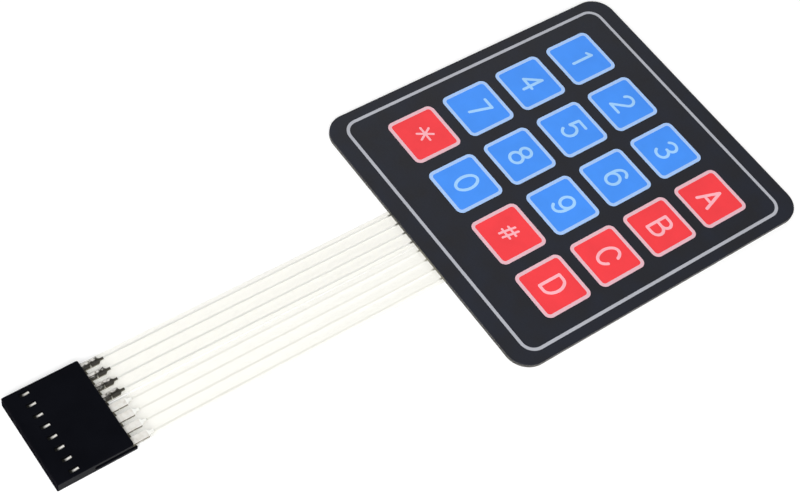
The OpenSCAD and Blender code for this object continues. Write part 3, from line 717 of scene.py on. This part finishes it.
class KEYPAD_OT_stage(bpy.types.Operator):
    """Sets up the table, the studio's light and the camera"""

    bl_idname = "keypad.stage"
    bl_label = "Studio"

    # In metres; the walls fade into the ceiling between two heights on a room of radius one
    table_size = 4.0
    table_gap = 0.01 * MM
    key_place, key_size = (0.42, -0.5, 0.75), 0.8
    back_place, back_size = (-0.55, 0.4, 0.5), 0.3
    wall_top, ceiling_edge = 0.3, 0.6
    near_clip = 0.01
    sensor_mm = 36

    def execute(self, context):
        studio = context.scene.keypad_studio
        context.scene.view_settings.view_transform = "Standard"
        self.lay_table()
        self.light_room(context.scene, studio)
        self.hang_lamp("key_light", self.key_place, self.key_size, studio.key_level)
        self.hang_lamp("back_light", self.back_place, self.back_size, studio.back_level)
        self.set_camera(context.scene, studio)
        return {"FINISHED"}

    def lay_table(self):
        half = self.table_size / 2
        corners = [(x * half, y * half, -self.table_gap) for x, y in ((-1, -1), (1, -1), (1, 1), (-1, 1))]
        mesh = bpy.data.meshes.new("table")
        mesh.from_pydata(corners, [], [(0, 1, 2, 3)])
        mesh.materials.append(table_paper())
        show("table", mesh)

    def light_room(self, scene, studio):
        """Pale walls that fade into a darker ceiling."""
        world = bpy.data.worlds.new("studio_room")
        world.use_nodes = True
        tree = world.node_tree
        tree.nodes.clear()
        way = add(tree, "ShaderNodeTexCoord").outputs["Generated"]
        height = add(tree, "ShaderNodeSeparateXYZ", {0: way}).outputs[2]
        level = add(tree, "ShaderNodeMapRange", {
            "Value": height, "From Min": self.wall_top, "From Max": self.ceiling_edge,
            "To Min": studio.wall_level, "To Max": studio.ceiling_level}, interpolation_type="SMOOTHSTEP")
        glow = add(tree, "ShaderNodeBackground", {"Strength": level.outputs[0]})
        add(tree, "ShaderNodeOutputWorld", {"Surface": glow.outputs[0]})
        scene.world = world

    def hang_lamp(self, name, place, size, power):
        """A square soft light, turned to the middle of the object."""
        data = bpy.data.lights.new(name, "AREA")
        data.shape = "SQUARE"
        data.size = size
        data.energy = power
        lamp = show(name, data)
        middle = Vector((0, (CAD_BOX[0][1] + CAD_BOX[1][1]) / 2, 0))
        lamp.location = Vector(place)
        lamp.rotation_euler = (middle - lamp.location).to_track_quat("-Z", "Y").to_euler()

    def set_camera(self, scene, studio):
        data = bpy.data.cameras.new("camera")
        data.lens = studio.lens
        data.sensor_width = self.sensor_mm
        data.clip_start = self.near_clip
        camera = show("camera", data)
        out = Vector((
            math.sin(studio.azimuth) * math.cos(studio.elevation),
            -math.cos(studio.azimuth) * math.cos(studio.elevation),
            math.sin(studio.elevation)))
        turn = (-out).to_track_quat("-Z", "Y").to_matrix().to_4x4() @ Matrix.Rotation(studio.roll, 4, "Z")
        camera.matrix_world = Matrix.Translation(Vector(studio.target) + out * studio.distance) @ turn
        scene.camera = camera


class KEYPAD_OT_face(bpy.types.Operator):
    """Finishes the black printed face, the key fields and the pale border"""

    bl_idname = "keypad.face"
    bl_label = "Printed face"

    def execute(self, context):
        colours = context.scene.keypad_colours
        finish_node("graphic_overlay", printed_polyester(
            "textured_polyester_black", opaque(colours.face), opaque(colours.face_cool)))
        for node, name, ink in (
                ("blue_key_print", "screen_ink_blue", colours.blue),
                ("red_key_print", "screen_ink_red", colours.red),
                ("border_print", "screen_ink_pale_border", colours.border)):
            finish_node(node, printed_polyester(name, shaded(ink, 0.96), shaded(ink, 1.03)))
        return {"FINISHED"}


class KEYPAD_OT_outlines(bpy.types.Operator):
    """Prints the pale line round every key"""

    bl_idname = "keypad.outlines"
    bl_label = "Key outlines"

    def execute(self, context):
        sizes = context.scene.keypad_print
        piece = show("key_outlines", bpy.data.meshes.new("key_outlines"))
        modifier = piece.modifiers.new("key_outlines", "NODES")
        modifier.node_group = outline_tree()
        set_inputs(modifier, {
            "Key side": KEY_SIDE, "Corner radius": sizes.corner, "Line width": sizes.outline,
            "Pitch X": KEY_PITCH_X, "Pitch Y": KEY_PITCH_Y, "Ink thickness": sizes.ink,
            "Face height": FACE_HIGH.z, "Ink": key_outline_ink(context.scene.keypad_colours)})
        bake_modifiers(piece)
        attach(piece, BODY)
        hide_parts("key_outline_print")
        return {"FINISHED"}


class KEYPAD_OT_legends(bpy.types.Operator):
    """Prints the digits, letters and signs on the keys"""

    bl_idname = "keypad.legends"
    bl_label = "Key legends"

    def execute(self, context):
        sizes = context.scene.keypad_print
        colours = context.scene.keypad_colours
        digits = [legend for legend in "".join(LAYOUT) if legend not in LETTERS + SIGNS]
        tree = legend_tree()
        for name, legends, ink, stroke in (
                ("digit_legends", digits, colours.legend_blue, sizes.stroke),
                ("letter_legends", LETTERS, colours.legend_red, sizes.stroke),
                ("sign_legends", SIGNS, colours.legend_red, sizes.sign_stroke)):
            material = printed_polyester("screen_ink_" + name, shaded(ink, 0.95), shaded(ink, 1.02))
            piece = show(name, pen_mesh(name, legends, sizes))
            modifier = piece.modifiers.new("legend_strokes", "NODES")
            modifier.node_group = tree
            set_inputs(modifier, {
                "Stroke width": stroke, "Ink thickness": sizes.ink, "Face height": FACE_HIGH.z,
                "Ink": material})
            bake_modifiers(piece)
            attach(piece, BODY)
        return {"FINISHED"}


class KEYPAD_OT_circuit(bpy.types.Operator):
    """Finishes the circuit films with their tail and the silver lines"""

    bl_idname = "keypad.circuit"
    bl_label = "Circuit films and tail"

    def execute(self, context):
        colours = context.scene.keypad_colours
        film = clear_polyester(colours)
        finish_node("upper_circuit_film", film)
        finish_node("lower_circuit_film", film)
        silver = silver_ink(colours)
        for name in ("row_traces", "column_traces"):
            finish_node(name, silver)
            # Lines as thin as these leave no shadow on the table in soft light
            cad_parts[name].visible_shadow = False
        return {"FINISHED"}


class KEYPAD_OT_backing(bpy.types.Operator):
    """Finishes the spacer, the adhesives and the release paper"""

    bl_idname = "keypad.backing"
    bl_label = "Spacer, adhesives and liner"

    def execute(self, context):
        colours = context.scene.keypad_colours
        finish_node("spacer", laminate_layer("tinted_polyester_spacer", colours.spacer, 0.4))
        finish_node("overlay_adhesive", laminate_layer("acrylic_adhesive_dark", colours.adhesive, 0.3))
        # The mounting adhesive's colour is painted shade
        finish_node("rear_adhesive", laminate_layer("acrylic_adhesive_mounting", colours.mounting_in_shade, 0.35))
        finish_node("release_liner", release_paper(colours))
        return {"FINISHED"}


class KEYPAD_OT_socket(bpy.types.Operator):
    """Finishes the moulded housing of the socket and its crimped contacts"""

    bl_idname = "keypad.socket"
    bl_label = "Socket and contacts"

    def execute(self, context):
        colours = context.scene.keypad_colours
        finish_node("connector_housing", moulded_nylon(colours))
        tinned = tinned_bronze(colours)
        for way in range(1, WAYS + 1):
            finish_node(f"contact_{way}", tinned)
        return {"FINISHED"}


class KEYPAD_PT_sidebar(bpy.types.Panel):
    """The keypad's steps and settings"""

    bl_idname = "KEYPAD_PT_sidebar"
    bl_label = "Membrane keypad"
    bl_space_type = "VIEW_3D"
    bl_region_type = "UI"
    bl_category = "Keypad"

    def draw(self, context):
        for operator in OPERATORS:
            self.layout.operator(operator.bl_idname)
        for group in GROUPS:
            values = getattr(context.scene, group)
            for name in values.__annotations__:
                self.layout.prop(values, name)


GROUPS = {
    "keypad_print": KeypadPrint,
    "keypad_colours": KeypadColours,
    "keypad_studio": KeypadStudio,
}
OPERATORS = (
    KEYPAD_OT_stage, KEYPAD_OT_face, KEYPAD_OT_outlines, KEYPAD_OT_legends, KEYPAD_OT_circuit,
    KEYPAD_OT_backing, KEYPAD_OT_socket,
)
CLASSES = (*GROUPS.values(), *OPERATORS, KEYPAD_PT_sidebar)


def register():
    for made in CLASSES:
        bpy.utils.register_class(made)
    for name, group in GROUPS.items():
        setattr(bpy.types.Scene, name, PointerProperty(type=group))


def unregister():
    for name in GROUPS:
        delattr(bpy.types.Scene, name)
    for made in reversed(CLASSES):
        bpy.utils.unregister_class(made)


def main():
    register()
    bpy.ops.keypad.stage()
    bpy.ops.keypad.face()
    bpy.ops.keypad.outlines()
    bpy.ops.keypad.legends()
    bpy.ops.keypad.circuit()
    bpy.ops.keypad.backing()
    bpy.ops.keypad.socket()


if __name__ == "__main__":
    main()
